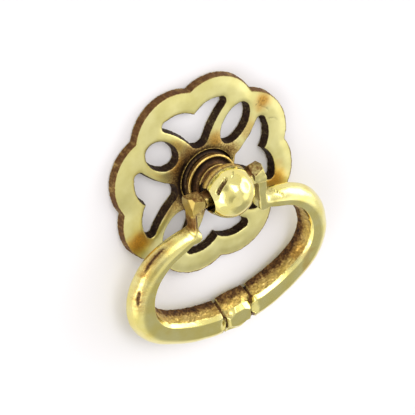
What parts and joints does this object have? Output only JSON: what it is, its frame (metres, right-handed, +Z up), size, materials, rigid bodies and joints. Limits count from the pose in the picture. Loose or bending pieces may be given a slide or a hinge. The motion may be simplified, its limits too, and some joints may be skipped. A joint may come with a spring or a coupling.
{
  "type": "ring pull handle",
  "caption": "Cast brass ring pull: a lobed, pierced round backplate with a turned post whose cross bore carries a swinging drop ring with a bead at its foot.",
  "frame": {"origin": "centre of the backplate's back face, which is the mouth of the fixing bore in the post's rear end", "axes": "+Z up with the ring below the post, +X to the right seen from the front, +Y into the drawer front; the front faces -Y and the back face lies on Y = 0"},
  "size_m": [0.057, 0.0175, 0.0675],
  "materials": {
    "plate_brass": "cast, front face satin and worn bright, amber tarnish in places, dark patina on the file-marked walls",
    "post_brass": "turned, polished head with dents and dark pits, dark brown patina in the grooves",
    "ring_brass": "cast, outside rubbed bright, front facet polished, inner wall rough and brown"
  },
  "bodies": {
    "plate_and_post": {"backplate": "plate_brass", "post": "post_brass"},
    "ring": {"ring": "ring_brass"}
  },
  "joints": [
    {"name": "ring_hinge", "type": "hinge", "parent": "plate_and_post", "child": "ring", "pos_m": [0, -0.0103, 0], "axis": [-1, 0, 0], "range_deg": [0, 200]}
  ]
}
